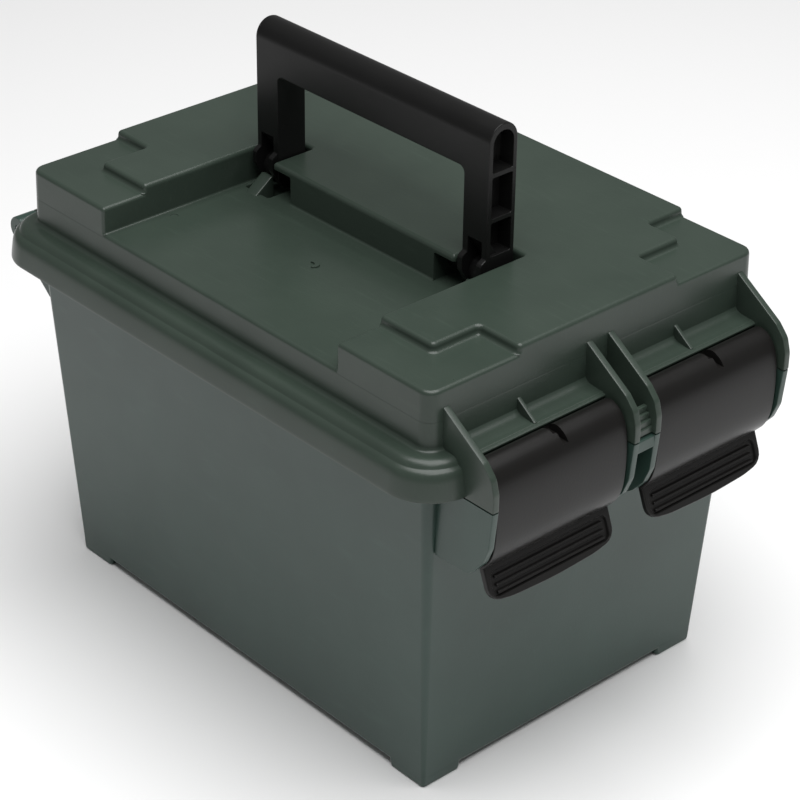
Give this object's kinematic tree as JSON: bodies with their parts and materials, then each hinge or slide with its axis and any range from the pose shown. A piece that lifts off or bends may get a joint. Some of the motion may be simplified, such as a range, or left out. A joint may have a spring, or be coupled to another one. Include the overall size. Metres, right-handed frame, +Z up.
{
  "type": "latched storage box",
  "caption": "Hard-walled storage box with a tapered tub, gasketed hinged lid, front snap latches, a padlock hasp and a carry handle that folds into the lid.",
  "frame": {"origin": "middle of the box's footprint on the surface that it stands on, with the length taken over the latch cheeks and the rear hinges", "axes": "+Z up, -Y towards the latches, +Y towards the lid's hinges, -X towards the side that the handle folds to"},
  "size_m": [0.183, 0.2744, 0.2291],
  "materials": {
    "tub_plastic": "satin polypropylene, forest green, with a fine moulded grain",
    "lid_plastic": "satin polypropylene, forest green, slightly darker than the tub",
    "handle_plastic": "black polypropylene, satin",
    "latch_plastic": "dark grey polypropylene, satin",
    "seal_rubber": "black rubber O-ring",
    "pin_steel": "plain steel rod"
  },
  "bodies": {
    "tub_body": {"tub": "tub_plastic", "hinge_pin_left": "pin_steel", "hinge_pin_right": "pin_steel"},
    "lid_body": {"lid": "lid_plastic", "seal_ring": "seal_rubber"},
    "handle_body": {"handle": "handle_plastic"},
    "latch_left_body": {"latch_left": "latch_plastic"},
    "latch_right_body": {"latch_right": "latch_plastic"}
  },
  "joints": [
    {"name": "lid_hinge", "type": "hinge", "parent": "tub_body", "child": "lid_body", "pos_m": [0, 0.1322, 0.137], "axis": [-1, 0, 0], "range_deg": [0, 108]},
    {"name": "handle_fold", "type": "hinge", "parent": "lid_body", "child": "handle_body", "pos_m": [-0.00125, 0, 0.16915], "axis": [0, -1, 0], "range_deg": [0, 90]},
    {"name": "latch_left_swing", "type": "hinge", "parent": "lid_body", "child": "latch_left_body", "pos_m": [-0.0386, -0.1262, 0.1456], "axis": [-1, 0, 0], "range_deg": [0, 105]},
    {"name": "latch_right_swing", "type": "hinge", "parent": "lid_body", "child": "latch_right_body", "pos_m": [0.0386, -0.1262, 0.1456], "axis": [-1, 0, 0], "range_deg": [0, 105]}
  ]
}
